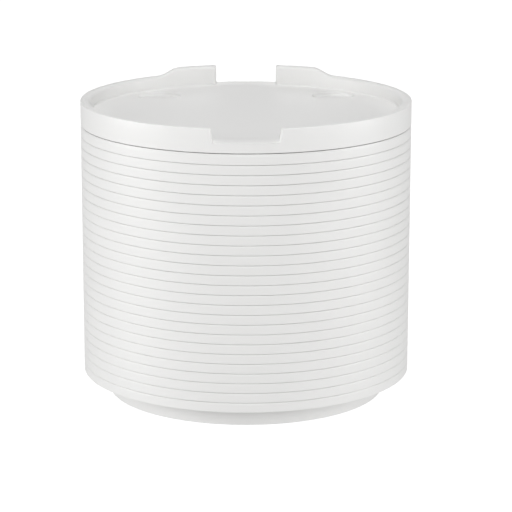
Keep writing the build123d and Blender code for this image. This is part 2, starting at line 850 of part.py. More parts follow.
with BuildPart() as lead_sockets:
    with BuildSketch(Plane.XY.offset(board_top)):
        with Locations(*[polar(lead_place, angle) for angle in antenna_angles]):
            Circle(socket_size)
    extrude(amount=socket_height)
keep(lead_sockets, "lead_sockets")

# ---------------------------------------------------------------- writing
os.makedirs("parts", exist_ok=True)
for piece in finished:
    export_step(piece, f"parts/{piece.label}.step")
print(f"{len(finished)} pieces, {groove_count} grooves, height {tab_z:.2f}, port face {port_face:.2f}")
print(f"window {window_low:.2f} to {window_high:.2f}, board top {board_top:.2f}, drum top {drum_top:.2f}")
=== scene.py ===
import math

import bmesh
import bpy
import numpy as np
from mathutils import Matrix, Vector


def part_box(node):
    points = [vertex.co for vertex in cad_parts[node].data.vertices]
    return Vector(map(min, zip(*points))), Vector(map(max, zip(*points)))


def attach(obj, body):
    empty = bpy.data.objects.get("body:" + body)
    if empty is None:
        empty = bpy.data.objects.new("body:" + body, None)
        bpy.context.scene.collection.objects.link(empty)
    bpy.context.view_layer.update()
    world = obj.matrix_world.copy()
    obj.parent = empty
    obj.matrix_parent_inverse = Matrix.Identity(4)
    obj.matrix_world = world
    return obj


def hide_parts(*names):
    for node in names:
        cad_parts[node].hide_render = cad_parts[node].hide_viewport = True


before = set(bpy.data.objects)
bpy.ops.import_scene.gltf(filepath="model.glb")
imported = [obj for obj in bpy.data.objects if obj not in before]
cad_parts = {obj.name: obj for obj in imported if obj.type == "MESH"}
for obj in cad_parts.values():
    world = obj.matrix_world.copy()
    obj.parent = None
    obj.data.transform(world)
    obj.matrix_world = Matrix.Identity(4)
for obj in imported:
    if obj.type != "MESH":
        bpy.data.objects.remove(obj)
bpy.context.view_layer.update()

MM = 0.001

# ------------------------------------------------------------------ studio
# A long lens looks slightly down at the front of the node. The node stands on a white sweep, with
# strip boxes low on both sides, a soft box in front and another overhead, in a faintly lit room.
camera_distance = 0.72812
camera_height = 0.22184
camera_pitch = math.radians(13.889)
lens_length = 167.75
sensor_width = 36.0
side_shift = 0.0195
rise_shift = 0.0008
aim_height = 0.045
box_distance = 1.1
box_size = 0.5

lens = bpy.data.cameras.new("camera")
lens.lens = lens_length
lens.sensor_width = sensor_width
lens.shift_x = side_shift
lens.shift_y = rise_shift
camera = bpy.data.objects.new("camera", lens)
camera.location = (0, -camera_distance, camera_height)
camera.rotation_euler = (math.pi / 2 - camera_pitch, 0, 0)
bpy.context.scene.collection.objects.link(camera)
bpy.context.scene.camera = camera
bpy.context.scene.view_settings.view_transform = "Standard"


def soft_box(name, azimuth, elevation, power):
    """A square area light on a sphere round the node, turned from the front and lifted by degrees."""
    light = bpy.data.lights.new(name, "AREA")
    light.energy = power
    light.size = box_size
    turn, lift = math.radians(azimuth), math.radians(elevation)
    place = Vector((math.sin(turn) * math.cos(lift), -math.cos(turn) * math.cos(lift), math.sin(lift)))
    box = bpy.data.objects.new(name, light)
    box.location = place * box_distance + Vector((0, 0, aim_height))
    box.rotation_euler = place.to_track_quat("Z", "Y").to_euler()
    bpy.context.scene.collection.objects.link(box)


soft_box("front_box", azimuth=0, elevation=10, power=1.50)
soft_box("front_high_box", azimuth=0, elevation=30, power=3.80)
soft_box("left_front_strip", azimuth=-70, elevation=10, power=2.00)
soft_box("right_front_strip", azimuth=70, elevation=10, power=1.00)
soft_box("left_strip", azimuth=-85, elevation=10, power=3.60)
soft_box("right_strip", azimuth=85, elevation=10, power=3.75)
soft_box("top_box", azimuth=0, elevation=89, power=5.00)
soft_box("back_box", azimuth=180, elevation=30, power=1.15)


def lit_for_camera(tree, seen_by_camera, seen_by_light):
    """One shader for what the camera sees directly, and another for the light that the rest gets."""
    seen = tree.nodes.new("ShaderNodeLightPath")
    either = tree.nodes.new("ShaderNodeMixShader")
    tree.links.new(seen.outputs["Is Camera Ray"], either.inputs["Fac"])
    tree.links.new(seen_by_light, either.inputs[1])
    tree.links.new(seen_by_camera, either.inputs[2])
    return either.outputs["Shader"]


room_fill = 0.08
white_glow = 1.1
room = bpy.data.worlds.new("room")
room.use_nodes = True
bpy.context.scene.world = room
fill = room.node_tree.nodes["Background"]
fill.inputs["Color"].default_value = (1, 1, 1, 1)
fill.inputs["Strength"].default_value = room_fill
backdrop = room.node_tree.nodes.new("ShaderNodeBackground")
backdrop.inputs["Strength"].default_value = white_glow
room_light = lit_for_camera(room.node_tree, backdrop.outputs["Background"], fill.outputs["Background"])
room.node_tree.links.new(room_light, room.node_tree.nodes["World Output"].inputs["Surface"])

sweep_half = 3.0
sweep_z = -0.05 * MM
sweep_grey = 0.1
sweep_light = 0.62
sweep_corners = [(-sweep_half, -sweep_half, sweep_z), (sweep_half, -sweep_half, sweep_z),
                 (sweep_half, sweep_half, sweep_z), (-sweep_half, sweep_half, sweep_z)]
sweep_mesh = bpy.data.meshes.new("studio_sweep")
sweep_mesh.from_pydata(sweep_corners, [], [(0, 1, 2, 3)])
studio_sweep = bpy.data.objects.new("studio_sweep", sweep_mesh)
bpy.context.scene.collection.objects.link(studio_sweep)
sweep_paint = bpy.data.materials.new("lit_sweep")
sweep_paint.use_nodes = True
sweep_mesh.materials.append(sweep_paint)
sweep_shader = sweep_paint.node_tree.nodes["Principled BSDF"]
sweep_shader.inputs["Base Color"].default_value = (sweep_grey, sweep_grey, sweep_grey, 1)
sweep_shader.inputs["Roughness"].default_value = 0.9
sweep_shader.inputs["Specular IOR Level"].default_value = 0.0
sweep_shader.inputs["Emission Color"].default_value = (1, 1, 1, 1)
sweep_shader.inputs["Emission Strength"].default_value = sweep_light
sweep_glow = sweep_paint.node_tree.nodes.new("ShaderNodeEmission")
sweep_glow.inputs["Strength"].default_value = white_glow
sweep_look = lit_for_camera(
    sweep_paint.node_tree, sweep_glow.outputs["Emission"], sweep_shader.outputs["BSDF"]
)
# Seen from below the sweep is clear, so that the underside can be looked at.
sweep_side = sweep_paint.node_tree.nodes.new("ShaderNodeNewGeometry")
sweep_clear = sweep_paint.node_tree.nodes.new("ShaderNodeBsdfTransparent")
one_sided = sweep_paint.node_tree.nodes.new("ShaderNodeMixShader")
sweep_links = sweep_paint.node_tree.links
sweep_links.new(sweep_side.outputs["Backfacing"], one_sided.inputs["Fac"])
sweep_links.new(sweep_look, one_sided.inputs[1])
sweep_links.new(sweep_clear.outputs["BSDF"], one_sided.inputs[2])
sweep_links.new(one_sided.outputs["Shader"], sweep_paint.node_tree.nodes["Material Output"].inputs["Surface"])


# ------------------------------------------------------------------ foot pad
# A flat ring of soft grey silicone rubber under the foot, glued into a shallow seat. It is moulded
# with rounded edges, and its skin is finely matt with a little dust in it.
def add_mesh(name, points, faces, body="housing", sharp=38):
    """A new mesh from points in metres and four-cornered faces: points that coincide are joined,
    faces turned out, and all is smooth except at edges over the sharp angle. It rides on a body."""
    mesh = bpy.data.meshes.new(name)
    mesh.from_pydata(np.asarray(points).reshape(-1, 3).tolist(), [], np.asarray(faces).tolist())
    shell = bmesh.new()
    shell.from_mesh(mesh)
    bmesh.ops.remove_doubles(shell, verts=shell.verts, dist=2e-6)
    bmesh.ops.dissolve_degenerate(shell, edges=shell.edges, dist=1e-7)
    bmesh.ops.recalc_face_normals(shell, faces=shell.faces)
    shell.to_mesh(mesh)
    shell.free()
    mesh.shade_smooth()
    mesh.set_sharp_from_angle(angle=math.radians(sharp))
    piece = bpy.data.objects.new(name, mesh)
    bpy.context.scene.collection.objects.link(piece)
    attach(piece, body)
    return piece


def grid_faces(rows, columns, start=0, skip=None):
    """Faces of a grid stored row by row from index start: each joins a point to its right, lower
    right and lower neighbour. skip is a mask of the faces to leave out."""
    index = start + np.arange(rows * columns).reshape(rows, columns)
    faces = np.stack([index[:-1, :-1], index[:-1, 1:], index[1:, 1:], index[1:, :-1]], axis=-1)
    return faces.reshape(-1, 4) if skip is None else faces[~skip]


def soft_corners(outline, reach, steps=4):
    """A closed outline with each corner swapped for a quadratic curve that leaves the two edges at
    a distance reach from the corner, and has the corner as its control point."""
    outline = np.asarray(outline, float)
    reach = np.broadcast_to(reach, len(outline))[:, None]
    before, after = np.roll(outline, 1, axis=0) - outline, np.roll(outline, -1, axis=0) - outline
    start = outline + reach * before / np.linalg.norm(before, axis=1, keepdims=True)
    end = outline + reach * after / np.linalg.norm(after, axis=1, keepdims=True)
    t = np.linspace(0, 1, steps + 1)[None, :, None]
    curve = (1 - t) ** 2 * start[:, None] + 2 * t * (1 - t) * outline[:, None] + t**2 * end[:, None]
    return curve.reshape(-1, 2)


def turned(name, outline, centre=(0, 0, 0), along=(0, 0, 1), across=(1, 0, 0), count=160, body="housing"):
    """A closed outline of (radius, distance) points in millimetres, carried once round the axis that
    runs along a direction through a centre: centre + radius * rim + distance * along."""
    along, across = np.array(along, float), np.array(across, float)
    angle = np.linspace(0, 2 * np.pi, count + 1)[:, None]
    rim = np.cos(angle) * across + np.sin(angle) * np.cross(along, across)
    outline = np.vstack([outline, outline[:1]])
    points = np.asarray(centre) + outline[:, :1, None] * rim[None] + outline[:, 1:, None] * along
    return add_mesh(name, points * MM, grid_faces(len(outline), count + 1), body)


def new_finish(name):
    """A new node material, and its shader."""
    finish = bpy.data.materials.new(name)
    finish.use_nodes = True
    return finish, finish.node_tree.nodes["Principled BSDF"]


def grain(finish, per_metre, detail=2.0, stretch=(1, 1, 1)):
    """Cloudy noise from 0 to 1 with so many clouds to the metre, on the piece's own coordinates
    multiplied by stretch, with its middle tones spread out."""
    nodes, links = finish.node_tree.nodes, finish.node_tree.links
    place = nodes.new("ShaderNodeTexCoord")
    spread = nodes.new("ShaderNodeMapping")
    spread.inputs["Scale"].default_value = stretch
    cloud = nodes.new("ShaderNodeTexNoise")
    cloud.inputs["Scale"].default_value = per_metre
    cloud.inputs["Detail"].default_value = detail
    tones = nodes.new("ShaderNodeMapRange")
    tones.inputs["From Min"].default_value = 0.25
    tones.inputs["From Max"].default_value = 0.75
    links.new(place.outputs["Object"], spread.inputs["Vector"])
    links.new(spread.outputs["Vector"], cloud.inputs["Vector"])
    links.new(cloud.outputs["Fac"], tones.inputs["Value"])
    return tones.outputs["Result"]


def colour_between(finish, amount, first, second):
    """Base colour that runs from first to second as amount goes from 0 to 1."""
    blend = finish.node_tree.nodes.new("ShaderNodeMix")
    blend.data_type = "RGBA"
    colours = [socket for socket in blend.inputs if socket.type == "RGBA"]
    colours[0].default_value = (*first, 1)
    colours[1].default_value = (*second, 1)
    finish.node_tree.links.new(amount, blend.inputs["Factor"])
    blended = [socket for socket in blend.outputs if socket.type == "RGBA"][0]
    finish.node_tree.links.new(blended, finish.node_tree.nodes["Principled BSDF"].inputs["Base Color"])


def gloss_between(finish, amount, low, high):
    """Roughness that runs from low to high as amount goes from 0 to 1."""
    level = finish.node_tree.nodes.new("ShaderNodeMapRange")
    level.inputs["To Min"].default_value = low
    level.inputs["To Max"].default_value = high
    finish.node_tree.links.new(amount, level.inputs["Value"])
    roughness = finish.node_tree.nodes["Principled BSDF"].inputs["Roughness"]
    finish.node_tree.links.new(level.outputs["Result"], roughness)


def relief(finish, height, depth):
    """Bump of height times depth in metres, laid over any relief that the finish already has."""
    tree = finish.node_tree
    normal = tree.nodes["Principled BSDF"].inputs["Normal"]
    bump = tree.nodes.new("ShaderNodeBump")
    bump.inputs["Distance"].default_value = depth
    if normal.is_linked:
        tree.links.new(normal.links[0].from_socket, bump.inputs["Normal"])
    tree.links.new(height, bump.inputs["Height"])
    tree.links.new(bump.outputs["Normal"], normal)


def shaded(colour, share):
    """A colour made lighter or darker by a share, held below 1."""
    return [min(1.0, part * (1 + share)) for part in colour]


def rubber(name, colour):
    """Soft matt rubber: pale dust in slow clouds, dull gloss, and a fine skin texture."""
    finish, shader = new_finish(name)
    dust = grain(finish, per_metre=60, detail=5)
    colour_between(finish, dust, shaded(colour, share=-0.06), shaded(colour, share=0.06))
    gloss_between(finish, dust, low=0.72, high=0.88)
    relief(finish, grain(finish, per_metre=2600, detail=2), depth=0.012 * MM)
    shader.inputs["Specular IOR Level"].default_value = 0.35
    shader.inputs["Sheen Weight"].default_value = 0.15
    return finish


def stand_in(piece, node, finish):
    """Gives a new piece its finish and its slot, in place of a CAD node."""
    piece.data.materials.clear()
    piece.data.materials.append(finish)
    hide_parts(node)


pad_high = np.array(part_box("foot_pad")[1]) / MM
pad_outer = pad_high[0]
pad_inner = 31.5
pad_round = 0.35
pad_outline = [(pad_inner, 0), (pad_outer, 0), (pad_outer, pad_high[2]), (pad_inner, pad_high[2])]
pad_ring = turned("pad_ring", soft_corners(pad_outline, pad_round))
stand_in(pad_ring, "foot_pad", rubber("pad_rubber", (0.50, 0.50, 0.49)))


# ------------------------------------------------------------------ rating label
# A blank film label with rounded corners, stuck in a shallow seat in the middle of the foot. The
# film is satin, with a hairline frame printed near its edge.
def paint(finish, *nodes):
    """Gives these CAD pieces a finish in place of their plain one."""
    for node in nodes:
        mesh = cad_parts[node].data
        mesh.materials.clear()
        mesh.materials.append(finish)


def frame_line(finish, half_length, half_width, line):
    """1 on a thin rectangle round the origin in plan and 0 elsewhere: where the larger of |x| less
    half the length and |y| less half the width lies within half a line's width of 0."""
    nodes, links = finish.node_tree.nodes, finish.node_tree.links
    place = nodes.new("ShaderNodeTexCoord")
    split = nodes.new("ShaderNodeSeparateXYZ")
    links.new(place.outputs["Object"], split.inputs["Vector"])
    past = []
    for axis, half in (("X", half_length), ("Y", half_width)):
        size = nodes.new("ShaderNodeMath")
        size.operation = "ABSOLUTE"
        links.new(split.outputs[axis], size.inputs[0])
        less = nodes.new("ShaderNodeMath")
        less.operation = "SUBTRACT"
        less.inputs[1].default_value = half
        links.new(size.outputs[0], less.inputs[0])
        past.append(less.outputs[0])
    larger = nodes.new("ShaderNodeMath")
    larger.operation = "MAXIMUM"
    links.new(past[0], larger.inputs[0])
    links.new(past[1], larger.inputs[1])
    near = nodes.new("ShaderNodeMath")
    near.operation = "COMPARE"
    near.inputs[1].default_value = 0.0
    near.inputs[2].default_value = line / 2
    links.new(larger.outputs[0], near.inputs[0])
    return near.outputs[0]


def printed_film(name, colour, ink, half_length, half_width):
    """Satin film: a printed frame line, faint clouding in the gloss, and a slight orange peel."""
    finish, shader = new_finish(name)
    colour_between(finish, frame_line(finish, half_length, half_width, printed_line), colour, ink)
    gloss_between(finish, grain(finish, per_metre=120, detail=3), low=0.34, high=0.46)
    relief(finish, grain(finish, per_metre=900, detail=1), depth=0.004 * MM)
    shader.inputs["Coat Weight"].default_value = 0.2
    shader.inputs["Coat Roughness"].default_value = 0.3
    return finish


frame_inset = 1.2 * MM
printed_line = 0.25 * MM
label_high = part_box("rating_label")[1]
paint(
    printed_film("label_film", (0.62, 0.63, 0.63), (0.30, 0.30, 0.31),
                 label_high.x - frame_inset, label_high.y - frame_inset),
    "rating_label",
)


# ------------------------------------------------------------------ bottom cover and foot
# One white ABS moulding: a flange that closes the housing, and a drum-shaped foot below it. Air
# slots pierce the foot's floor and the flange, and four sunk holes take the screws.
def moulded(name, colour, gloss=0.42, mottle=0.012, texture=0.008 * MM):
    """Moulded plastic: slow soft mottling in colour and gloss, over the fine even grain that a
    spark-eroded mould leaves."""
    finish, shader = new_finish(name)
    cloud = grain(finish, per_metre=45, detail=4)
    colour_between(finish, cloud, shaded(colour, share=-mottle), shaded(colour, share=mottle))
    gloss_between(finish, cloud, low=gloss - 0.05, high=gloss + 0.05)
    relief(finish, grain(finish, per_metre=3800, detail=2), depth=texture)
    shader.inputs["Specular IOR Level"].default_value = 0.5
    return finish


def dressed(name, node, edge, finish, sharp=30):
    """A CAD piece in a finish, its mesh made clean and closed: points joined, flat faces merged, and
    edges over the sharp angle rounded by a small bevel of width edge in millimetres."""
    shell = bmesh.new()
    shell.from_mesh(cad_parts[node].data)
    bmesh.ops.remove_doubles(shell, verts=shell.verts, dist=1e-6)
    bmesh.ops.dissolve_limit(shell, angle_limit=math.radians(0.5), verts=shell.verts, edges=shell.edges)
    mesh = bpy.data.meshes.new(name)
    shell.to_mesh(mesh)
    shell.free()
    mesh.shade_smooth()
    mesh.set_sharp_from_angle(angle=math.radians(sharp))
    piece = bpy.data.objects.new(name, mesh)
    bpy.context.scene.collection.objects.link(piece)
    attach(piece, "housing")
    stand_in(piece, node, finish)
    bevel = piece.modifiers.new("edges", "BEVEL")
    bevel.width = edge * MM
    bevel.segments = 2
    bevel.limit_method = "ANGLE"
    bevel.angle_limit = math.radians(sharp)
    bevel.harden_normals = True


shell_colour = (0.830, 0.828, 0.818)
foot_edge = 0.15
dressed("foot_shell", "bottom_cover", foot_edge, moulded("white_base", shell_colour))


# ------------------------------------------------------------------ ribbed housing
# A tube moulded in white ABS with a fine matt texture. Twenty-five thin grooves ring it at an even
# pitch, its hem has a shadow step, and a rounded window at the back takes the port bay. Screws from
# below hold it to the bottom cover.
sleeve_low, sleeve_high = [np.array(corner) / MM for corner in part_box("ribbed_sleeve")]
body_radius = sleeve_high[0]
wall = 2.4
inner_radius = body_radius - wall
rib_pitch = 3.0
first_rib = 3.4
least_rib = 1.5
groove_offsets = np.array([-0.88, -0.80, -0.64, -0.50, -0.38, -0.27, -0.26, -0.12, -0.11, -0.09])
groove_insets = np.array([0.0, 0.0, 0.022, 0.064, 0.12, 0.18, 0.70, 0.70, 0.03, 0.0])
hem = 0.75
hem_heights = np.array([0.0, 0.29, 0.30, 0.36])
hem_insets = np.array([0.9, 0.9, 0.06, 0.0])
shoulder_drop = 0.33
shoulder_height = 1.1
shoulder_inset = 0.2
window_half = 28.0
window_corner = 2.5
window_ribs = 7
window_columns = 14
corner_rings = 6
tolerance = 1e-3
groove_count = int((sleeve_high[2] - sleeve_low[2] - first_rib - least_rib) / rib_pitch) + 1
hem_z = sleeve_low[2] - hem
shoulder_z = sleeve_high[2] - shoulder_drop
grooves = sleeve_high[2] - first_rib - rib_pitch * np.arange(groove_count)[::-1]
window_low = grooves[1]
window_high = window_low + window_ribs * rib_pitch


def wall_radius(z):
    """Outside radius at height z: the plain radius less the groove nearest, a thin slot whose lower
    lip is eased back gently, less a step under the hem that lies in shadow, less a shoulder at the
    seam: its inset times the square of t, which climbs from 0 to 1 over its height."""
    z = np.asarray(z, float)
    offset = z[..., None] - grooves
    nearest = np.take_along_axis(offset, np.abs(offset).argmin(axis=-1)[..., None], axis=-1)[..., 0]
    cut = np.interp(nearest, groove_offsets, groove_insets)
    low = np.interp(z - hem_z, hem_heights, hem_insets)
    climb = np.clip((z - shoulder_z) / shoulder_height + 1, 0, 1)
    return body_radius - cut - low - shoulder_inset * climb**2


shoulder_steps = np.linspace(0, 1, 6)
outer_rows = np.concatenate([
    hem_z + hem_heights,
    (grooves[:, None] + groove_offsets).ravel(),
    shoulder_z - shoulder_height * (1 - shoulder_steps),
    [window_low, window_high, window_low + window_corner, window_high - window_corner],
])
outer_rows = np.unique(np.round(outer_rows, 4))
corner_steps = window_corner * np.array([0, 0.12, 0.35, 0.65, 1.0])
straight = np.linspace(window_half - window_corner, 0, window_columns)
half_across = np.concatenate([window_half - corner_steps, straight[1:]])
across = np.concatenate([half_across, -half_across[-2::-1]])
around_count = 210


def skin(rows, radius):
    """The wall as a grid: each row of points keeps to one height, first straight across the back in
    lines of equal x, then round the front by equal angles, at the radius of that height."""
    grid = np.empty((len(rows), len(across) + around_count, 3))
    for_row = radius[:, None]
    back = np.arctan2(np.sqrt(for_row**2 - across**2), across[None, :])
    sweep = np.linspace(0, 1, around_count + 1)[1:]
    front = back[:, -1:] + (2 * np.pi - (back[:, -1:] - back[:, :1])) * sweep
    angle = np.concatenate([back, front], axis=1)
    grid[..., 0] = for_row * np.cos(angle)
    grid[..., 1] = for_row * np.sin(angle)
    grid[..., 2] = rows[:, None]
    return grid


def quarter_turn(steps):
    """Angles from 0 to a quarter turn in so many equal steps."""
    return np.linspace(0, np.pi / 2, steps + 1)


def window_mask(rows, columns):
    """Which faces of the grid lie in the window's rectangle."""
    inside = (rows[:-1] > window_low - tolerance) & (rows[1:] < window_high + tolerance)
    mask = np.zeros((len(rows) - 1, columns - 1), bool)
    mask[np.ix_(np.flatnonzero(inside), np.arange(len(across) - 1))] = True
    return mask


def window_arc(rows, radius_of, side, end):
    """The patch that rounds one corner of the window: the corner's two straight edges, point by
    point, drawn in to a quarter circle in five steps, on the wall's own surface."""
    z_edge = window_high if end > 0 else window_low
    past = end * (z_edge - rows)
    z_line = rows[(past >= -tolerance) & (past <= window_corner + tolerance)][::end]
    x_line = side * (window_half - corner_steps)
    edge = [(side * window_half, z) for z in z_line] + [(x, z_edge) for x in x_line[1:]]
    edge = np.array(edge)
    centre = np.array([side * (window_half - window_corner), z_edge - end * window_corner])
    turn = quarter_turn(len(edge) - 1)
    arc = centre + window_corner * np.stack([side * np.cos(turn), end * np.sin(turn)], axis=-1)
    blend = np.linspace(0, 1, corner_rings)[:, None, None]
    flat = edge * (1 - blend) + arc * blend
    radius = radius_of(flat[..., 1])
    return np.stack([flat[..., 0], np.sqrt(radius**2 - flat[..., 0] ** 2), flat[..., 1]], axis=-1)


def joined(patches):
    """Grids of points as one list of points in metres and one list of faces. Each patch is a grid and
    the mask of the faces that it leaves out, or None, and its indexes go on from the last one's."""
    points, faces, start = [], [], 0
    for grid, skip in patches:
        faces.append(grid_faces(grid.shape[0], grid.shape[1], start, skip))
        points.append(grid.reshape(-1, 3))
        start += grid.shape[0] * grid.shape[1]
    return np.concatenate(points) * MM, np.concatenate(faces)


def plain_radius(z):
    """Inside radius at height z, the same all the way up."""
    return np.full(np.shape(z), inner_radius)


def build_sleeve():
    """The outer skin, a plain inner skin, their window corners, and the strip that joins them."""
    in_window = (outer_rows > window_low - tolerance) & (outer_rows < window_high + tolerance)
    inner_rows = np.concatenate([[hem_z], outer_rows[in_window], [shoulder_z]])
    patches, outlines = [], []
    for rows, radius_of in ((outer_rows, wall_radius), (inner_rows, plain_radius)):
        grid = skin(rows, radius_of(rows))
        patches.append((grid, window_mask(rows, grid.shape[1])))
        corners = {}
        for side in (1, -1):
            for end in (1, -1):
                patch = window_arc(rows, radius_of, side, end)
                patches.append((patch, None))
                corners[side, end] = patch[-1]
        middle = np.abs(across) <= window_half - window_corner + tolerance
        top = grid[np.argmin(np.abs(rows - window_high)), : len(across)][middle]
        low = grid[np.argmin(np.abs(rows - window_low)), : len(across)][middle]
        above = rows >= window_low + window_corner - tolerance
        upright = above & (rows <= window_high - window_corner + tolerance)
        left, right = grid[upright, 0], grid[upright, len(across) - 1]
        outlines.append(np.concatenate([
            left, corners[1, 1], top, corners[-1, 1][::-1], right[::-1],
            corners[-1, -1], low[::-1], corners[1, -1][::-1], left[:1],
        ]))
    patches.append((np.stack(outlines), None))
    for z in (hem_z, shoulder_z):
        patches.append((skin(np.array([z, z]), np.array([wall_radius(z), inner_radius])), None))
    return joined(patches)


white_shell = moulded("white_shell", shell_colour)
ribbed_housing = add_mesh("ribbed_housing", *build_sleeve())
stand_in(ribbed_housing, "ribbed_sleeve", white_shell)


# ------------------------------------------------------------------ screws
# Zinc-plated steel screws with a round head and a six-sided drive. The four under the foot hold the
# housing down, and the others hold the board, the heat sink and the antenna drum.
def plated(name, colour, gloss=0.3, stretch=(1, 1, 6)):
    """Plated steel: fine drawn streaks, a little cloudy tarnish, and a soft metal gloss."""
    finish, shader = new_finish(name)
    tarnish = grain(finish, per_metre=180, detail=4)
    colour_between(finish, tarnish, shaded(colour, share=-0.07), shaded(colour, share=0.05))
    streak = grain(finish, per_metre=900, detail=3, stretch=stretch)
    gloss_between(finish, streak, low=gloss - 0.08, high=gloss + 0.10)
    relief(finish, grain(finish, per_metre=1500, detail=2, stretch=stretch), depth=0.003 * MM)
    shader.inputs["Metallic"].default_value = 1.0
    return finish


screw_edge = 0.1
zinc = plated("screw_steel", (0.55, 0.55, 0.56))
dressed("floor_screws", "case_screws", screw_edge, zinc)
paint(zinc, "board_screws", "sink_screws", "drum_screws")


# ------------------------------------------------------------------ port bay
# A white ABS panel with a short wall round it that fits the housing's window. It is cut out for the
# two network sockets, the power socket, two buttons and a light, and it slides down behind the wall.
bay_edge = 0.2
bay_plastic = moulded("bay_plastic", (0.78, 0.778, 0.768), gloss=0.58)
dressed("port_panel", "port_bay", bay_edge, bay_plastic)


# ------------------------------------------------------------------ network and power sockets
# Two eight-way network sockets: black glass-filled nylon blocks in folded tinned steel shields, with
# gold-plated contact springs. The power socket is a drawn steel shell with a black tongue inside.
def nylon(name, colour):
    """Glass-filled nylon: satin black with faint flow streaks and a slightly pitted skin."""
    finish, shader = new_finish(name)
    streak = grain(finish, per_metre=300, detail=3, stretch=(1, 4, 1))
    colour_between(finish, streak, shaded(colour, share=-0.25), shaded(colour, share=0.35))
    gloss_between(finish, streak, low=0.34, high=0.50)
    relief(finish, grain(finish, per_metre=4200, detail=2), depth=0.006 * MM)
    return finish


shield_edge = 0.06
tin = plated("tinned_steel", (0.66, 0.66, 0.65), gloss=0.32, stretch=(1, 5, 1))
for side in ("1", "2"):
    dressed("socket_shield_" + side, "lan_shield_" + side, shield_edge, tin)
dressed("power_shell", "power_jack", shield_edge, tin)
paint(tin, "radio_can_left", "radio_can_right")
paint(nylon("jack_plastic", (0.022, 0.022, 0.023)), "lan_jack_1", "lan_jack_2", "power_tongue")

gold = plated("gold_contact", (0.86, 0.64, 0.27), gloss=0.22, stretch=(1, 8, 1))
paint(gold, "lan_contacts_1", "lan_contacts_2", "lead_sockets")


# ------------------------------------------------------------------ buttons and light
# Two white ABS push buttons with rounded faces, guided by the panel and stopped behind it by a
# collar: a larger one that stands proud for pairing, and a small sunk one for reset.
collar_step = 0.9
collar_thickness = 1.0
stem_radius = 1.0
stem_length = 1.8
button_round = 0.4
button_dish = 0.12
dish_rings = 8
rear_way = dict(along=(0, 1, 0), across=(0, 0, 1), count=72)
button_finish = moulded("button_plastic", (0.80, 0.798, 0.788))


def push_button(name, node, body):
    """A button turned round its own axis: stem, collar, body, rounded rim, and a face dished by a
    shallow curve that deepens with the square of the distance in from the rim."""
    low, high = [np.array(corner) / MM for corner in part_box(node)]
    centre = (low + high) / 2
    centre[1] = 0.0
    collar = (high[0] - low[0]) / 2
    radius = collar - collar_step
    stem_end = low[1] + stem_length
    stem_outline = [(0, low[1]), (stem_radius, low[1]), (stem_radius, stem_end), (collar, stem_end),
                    (collar, stem_end + collar_thickness), (radius, stem_end + collar_thickness)]
    turn = quarter_turn(steps=6)
    rim = np.array([radius, high[1]]) - button_round * (1 - np.stack([np.cos(turn), np.sin(turn)], axis=-1))
    inward = np.linspace(radius - button_round, 0, dish_rings)[1:]
    dish = button_dish * (1 - (inward / (radius - button_round)) ** 2)
    face = np.stack([inward, high[1] - dish], axis=-1)
    button = turned(name, np.vstack([stem_outline, rim, face]), centre=centre, body=body, **rear_way)
    stand_in(button, node, button_finish)


push_button("pairing_cap", "pairing_button", "pairing_key")
push_button("reset_cap", "reset_button", "reset_key")


def frosted(name, colour):
    """Frosted clear acrylic: it lets light through softly, under a fine blasted skin."""
    finish, shader = new_finish(name)
    haze = grain(finish, per_metre=700, detail=3)
    colour_between(finish, haze, shaded(colour, share=-0.05), shaded(colour, share=0.05))
    gloss_between(finish, haze, low=0.32, high=0.45)
    relief(finish, grain(finish, per_metre=5000, detail=1), depth=0.003 * MM)
    shader.inputs["Transmission Weight"].default_value = 0.55
    shader.inputs["IOR"].default_value = 1.49
    return finish


pipe_edge = 0.08
clear = frosted("clear_plastic", (0.85, 0.87, 0.88))
dressed("light_lens", "light_pipe", pipe_edge, clear)
paint(clear, "status_led")
paint(moulded("switch_plastic", (0.05, 0.05, 0.05), gloss=0.6, mottle=0.1),
      "pairing_switch", "reset_switch", "pairing_plunger", "reset_plunger")


# ------------------------------------------------------------------ circuit boards
# Glass-epoxy boards under solder mask: a green main board and upright side board, and four blue
# antennas. Copper tracks show through the mask as slightly lighter raised lines.
def solder_mask(name, colour, track, per_metre=700):
    """Solder mask over copper: narrow bands of tracks that run two ways where a blocky pattern of
    cells turns them, lighter and raised, under a glossy coat."""
    finish, shader = new_finish(name)
    nodes, links = finish.node_tree.nodes, finish.node_tree.links
    place = nodes.new("ShaderNodeTexCoord")
    tracks = nodes.new("ShaderNodeTexBrick")
    tracks.inputs["Scale"].default_value = per_metre
    tracks.inputs["Mortar Size"].default_value = 0.06
    tracks.inputs["Mortar Smooth"].default_value = 0.4
    tracks.inputs["Brick Width"].default_value = 3.2
    tracks.inputs["Row Height"].default_value = 0.6
    links.new(place.outputs["Object"], tracks.inputs["Vector"])
    colour_between(finish, tracks.outputs["Fac"], colour, track)
    gloss_between(finish, grain(finish, per_metre=200, detail=3), low=0.22, high=0.34)
    relief(finish, tracks.outputs["Fac"], depth=0.02 * MM)
    shader.inputs["Coat Weight"].default_value = 0.5
    shader.inputs["Coat Roughness"].default_value = 0.15
    return finish


paint(solder_mask("circuit_board", (0.012, 0.11, 0.045), (0.03, 0.20, 0.08)), "main_board", "side_board")
paint(solder_mask("antenna_board", (0.02, 0.07, 0.15), (0.05, 0.14, 0.26), per_metre=500),
      "antenna_1", "antenna_2", "antenna_3", "antenna_4")


